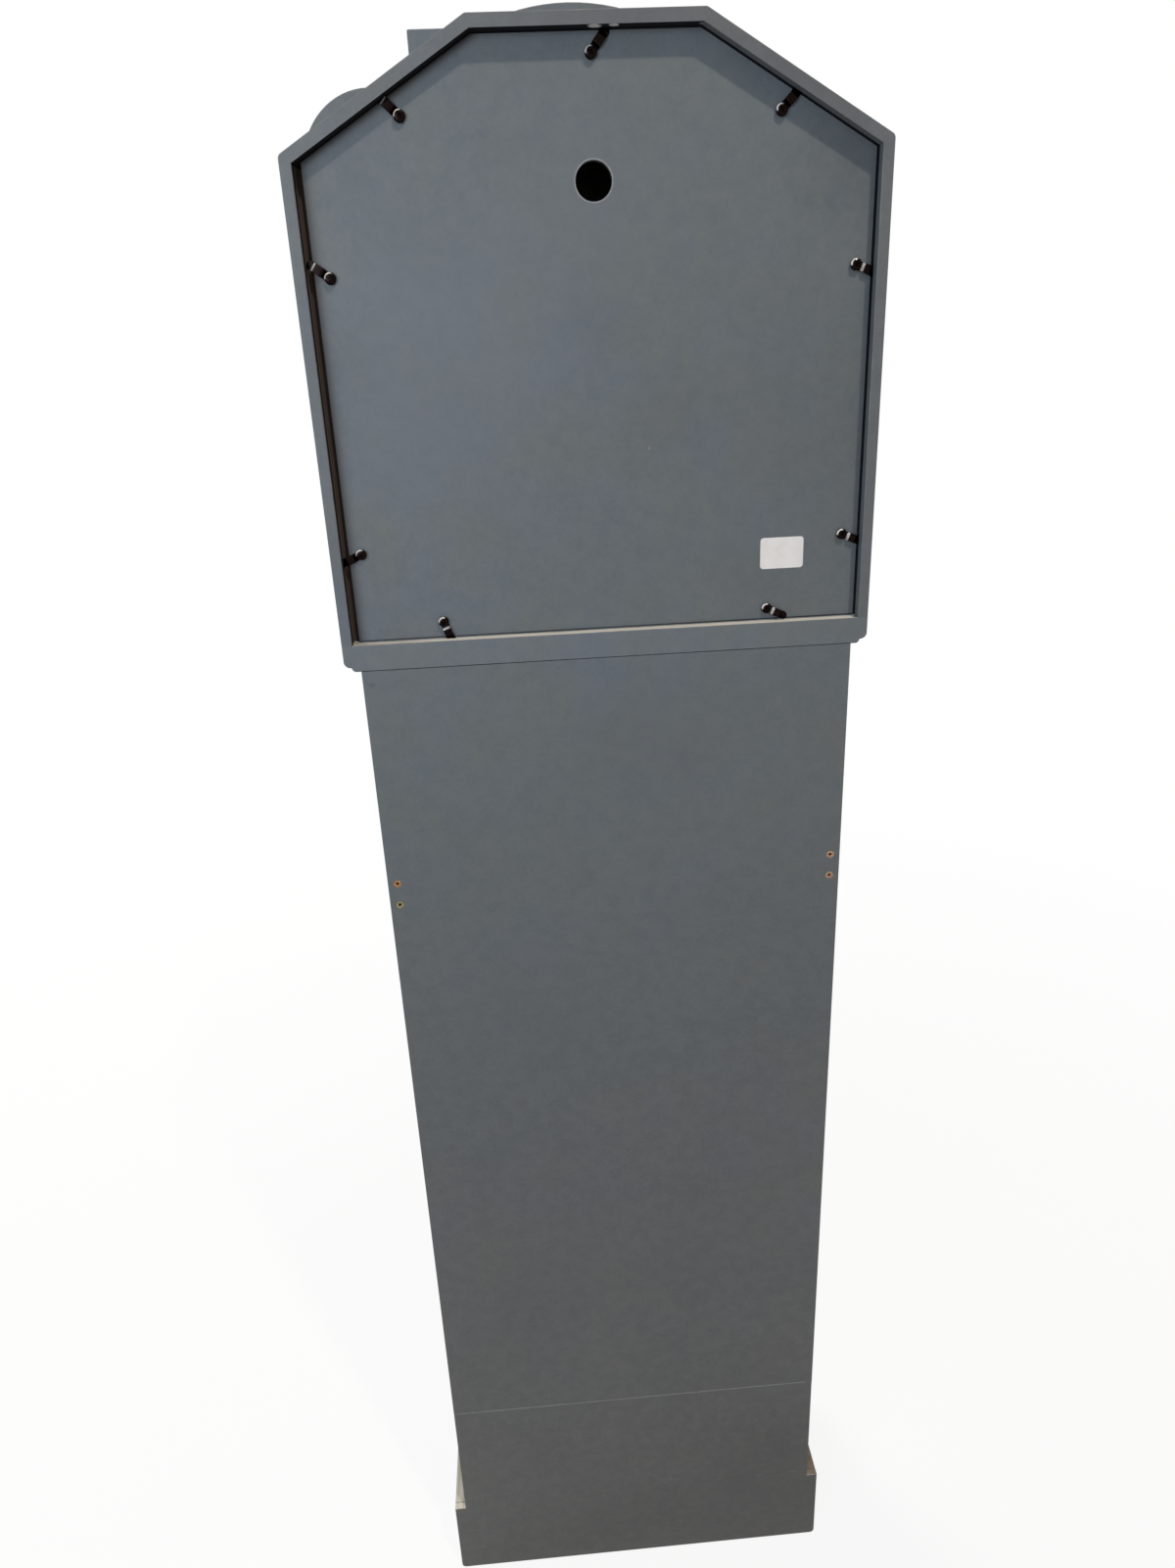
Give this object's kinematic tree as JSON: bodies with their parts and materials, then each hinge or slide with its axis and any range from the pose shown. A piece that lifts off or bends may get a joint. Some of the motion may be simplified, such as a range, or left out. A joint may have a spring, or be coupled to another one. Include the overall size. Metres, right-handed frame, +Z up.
{
  "type": "tall clock cabinet",
  "caption": "Tall free-standing clock cabinet: chamfered hood with a removable back held by turn buttons, round dial, shelved trunk with an arched panel door, bracket plinth.",
  "frame": {"origin": "middle of the footprint, on the ground", "axes": "+Z up; the front, with the dial and the door, faces -Y; the flat back faces +Y; +X is to the right seen from the front"},
  "size_m": [0.534, 0.264, 1.874],
  "materials": {
    "painted_board": "matt grey-blue paint on board",
    "raw_board": "bare board, sanded",
    "blackened_steel": "gloss black",
    "paper": "matt white paper",
    "clear_glass": "polished",
    "dial_enamel": "satin cream enamel",
    "black_plastic": "matt",
    "black_hands": "satin black",
    "brass": "satin",
    "zinc_steel": "zinc plated",
    "cell_steel": "satin"
  },
  "bodies": {
    "cabinet": {"hood_side_left": "painted_board", "hood_side_right": "painted_board", "hood_chamfer_left": "painted_board", "hood_chamfer_right": "painted_board", "hood_top_board": "painted_board", "hood_floor": "painted_board", "hood_front_board": "painted_board", "hood_back_panel": "painted_board", "blank_label": "paper", "turn_button_screws": "blackened_steel", "dial_ring": "painted_board", "dial_glass": "clear_glass", "dial_plate": "dial_enamel", "movement_case": "black_plastic", "movement_nut": "brass", "dry_cell": "cell_steel", "trunk_side_left": "painted_board", "trunk_side_right": "painted_board", "trunk_back_board": "painted_board", "lower_back_board": "painted_board", "front_stile_left": "painted_board", "front_stile_right": "painted_board", "top_rail": "painted_board", "waist_rail": "painted_board", "low_rail": "painted_board", "base_panel": "painted_board", "waist_bead": "painted_board", "trunk_floor": "raw_board", "shelf_lower": "raw_board", "shelf_middle": "raw_board", "shelf_upper": "raw_board", "shelf_pins": "zinc_steel", "hinge_leaves_fixed": "brass", "hinge_pins": "brass", "catch_magnet": "black_plastic", "plinth_side_left": "painted_board", "plinth_side_right": "painted_board", "plinth_front_board": "painted_board", "plinth_back_board": "painted_board"},
    "turn_button_1": {"turn_button_1": "blackened_steel"},
    "turn_button_2": {"turn_button_2": "blackened_steel"},
    "turn_button_3": {"turn_button_3": "blackened_steel"},
    "turn_button_4": {"turn_button_4": "blackened_steel"},
    "turn_button_5": {"turn_button_5": "blackened_steel"},
    "turn_button_6": {"turn_button_6": "blackened_steel"},
    "turn_button_7": {"turn_button_7": "blackened_steel"},
    "turn_button_8": {"turn_button_8": "blackened_steel"},
    "turn_button_9": {"turn_button_9": "blackened_steel"},
    "trunk_door": {"door_hinge_stile": "painted_board", "door_knob_stile": "painted_board", "door_top_rail": "painted_board", "door_low_rail": "painted_board", "door_panel": "painted_board", "door_knob": "brass", "hinge_leaves_door": "brass", "catch_plate": "zinc_steel"},
    "minute_hand": {"minute_hand": "black_hands"},
    "hour_hand": {"hour_hand": "black_hands"}
  },
  "joints": [
    {"name": "button_1_turn", "type": "hinge", "parent": "cabinet", "child": "turn_button_1", "pos_m": [-0.003, 0.118, 1.7832], "axis": [0, -1, 0], "range_deg": [0, 180]},
    {"name": "button_2_turn", "type": "hinge", "parent": "cabinet", "child": "turn_button_2", "pos_m": [-0.1577, 0.118, 1.73992], "axis": [0, -1, 0], "range_deg": [0, 180]},
    {"name": "button_3_turn", "type": "hinge", "parent": "cabinet", "child": "turn_button_3", "pos_m": [-0.2254, 0.118, 1.624], "axis": [0, -1, 0], "range_deg": [0, 180]},
    {"name": "button_4_turn", "type": "hinge", "parent": "cabinet", "child": "turn_button_4", "pos_m": [-0.2238, 0.118, 1.396], "axis": [0, -1, 0], "range_deg": [0, 180]},
    {"name": "button_5_turn", "type": "hinge", "parent": "cabinet", "child": "turn_button_5", "pos_m": [-0.154, 0.118, 1.3295], "axis": [0, 1, 0], "range_deg": [0, 180]},
    {"name": "button_6_turn", "type": "hinge", "parent": "cabinet", "child": "turn_button_6", "pos_m": [0.154, 0.118, 1.3337], "axis": [0, 1, 0], "range_deg": [0, 180]},
    {"name": "button_7_turn", "type": "hinge", "parent": "cabinet", "child": "turn_button_7", "pos_m": [0.2234, 0.118, 1.4], "axis": [0, 1, 0], "range_deg": [0, 180]},
    {"name": "button_8_turn", "type": "hinge", "parent": "cabinet", "child": "turn_button_8", "pos_m": [0.2216, 0.118, 1.629], "axis": [0, -1, 0], "range_deg": [0, 180]},
    {"name": "button_9_turn", "type": "hinge", "parent": "cabinet", "child": "turn_button_9", "pos_m": [0.15206, 0.118, 1.74415], "axis": [0, 1, 0], "range_deg": [0, 180]},
    {"name": "door_swing", "type": "hinge", "parent": "cabinet", "child": "trunk_door", "pos_m": [0.18825, -0.1048, 0.789], "axis": [0, 0, 1], "range_deg": [0, 110]},
    {"name": "minute_hand_turn", "type": "hinge", "parent": "cabinet", "child": "minute_hand", "pos_m": [0, -0.11, 1.62], "axis": [0, 1, 0], "continuous": true},
    {"name": "hour_hand_turn", "type": "hinge", "parent": "cabinet", "child": "hour_hand", "pos_m": [0, -0.107, 1.62], "axis": [0, 1, 0], "continuous": true}
  ],
  "couplings": [
    {"joint": "hour_hand_turn", "follows": "minute_hand_turn", "ratio": 0.083333}
  ]
}
